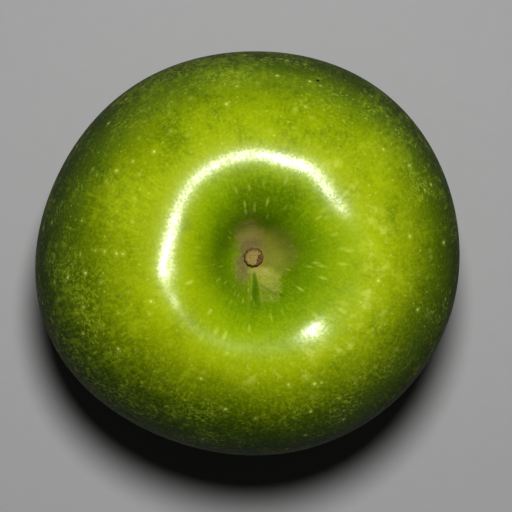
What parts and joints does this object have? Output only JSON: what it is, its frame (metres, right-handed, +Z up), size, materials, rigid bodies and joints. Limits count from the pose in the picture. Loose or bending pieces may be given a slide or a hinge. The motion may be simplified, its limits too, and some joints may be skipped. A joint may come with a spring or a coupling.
{
  "type": "green apple",
  "caption": "Whole green apple with a leaning core, a deep hollow round a broken-off stalk stub, an uneven crest and a dried calyx in the base; stands on small flats under its feet.",
  "frame": {"origin": "on the floor, under the middle of the object's box", "axes": "+Z up, from the calyx to the stalk; +X along the widest way across; +Y across it"},
  "size_m": [0.0763, 0.0726, 0.0675],
  "materials": {
    "skin": "waxy, satin to glossy",
    "stalk": "dry, broken end",
    "calyx": "dried, matt"
  },
  "bodies": {
    "root": {"fruit": "skin", "stalk": "stalk", "calyx": "calyx"}
  },
  "joints": []
}
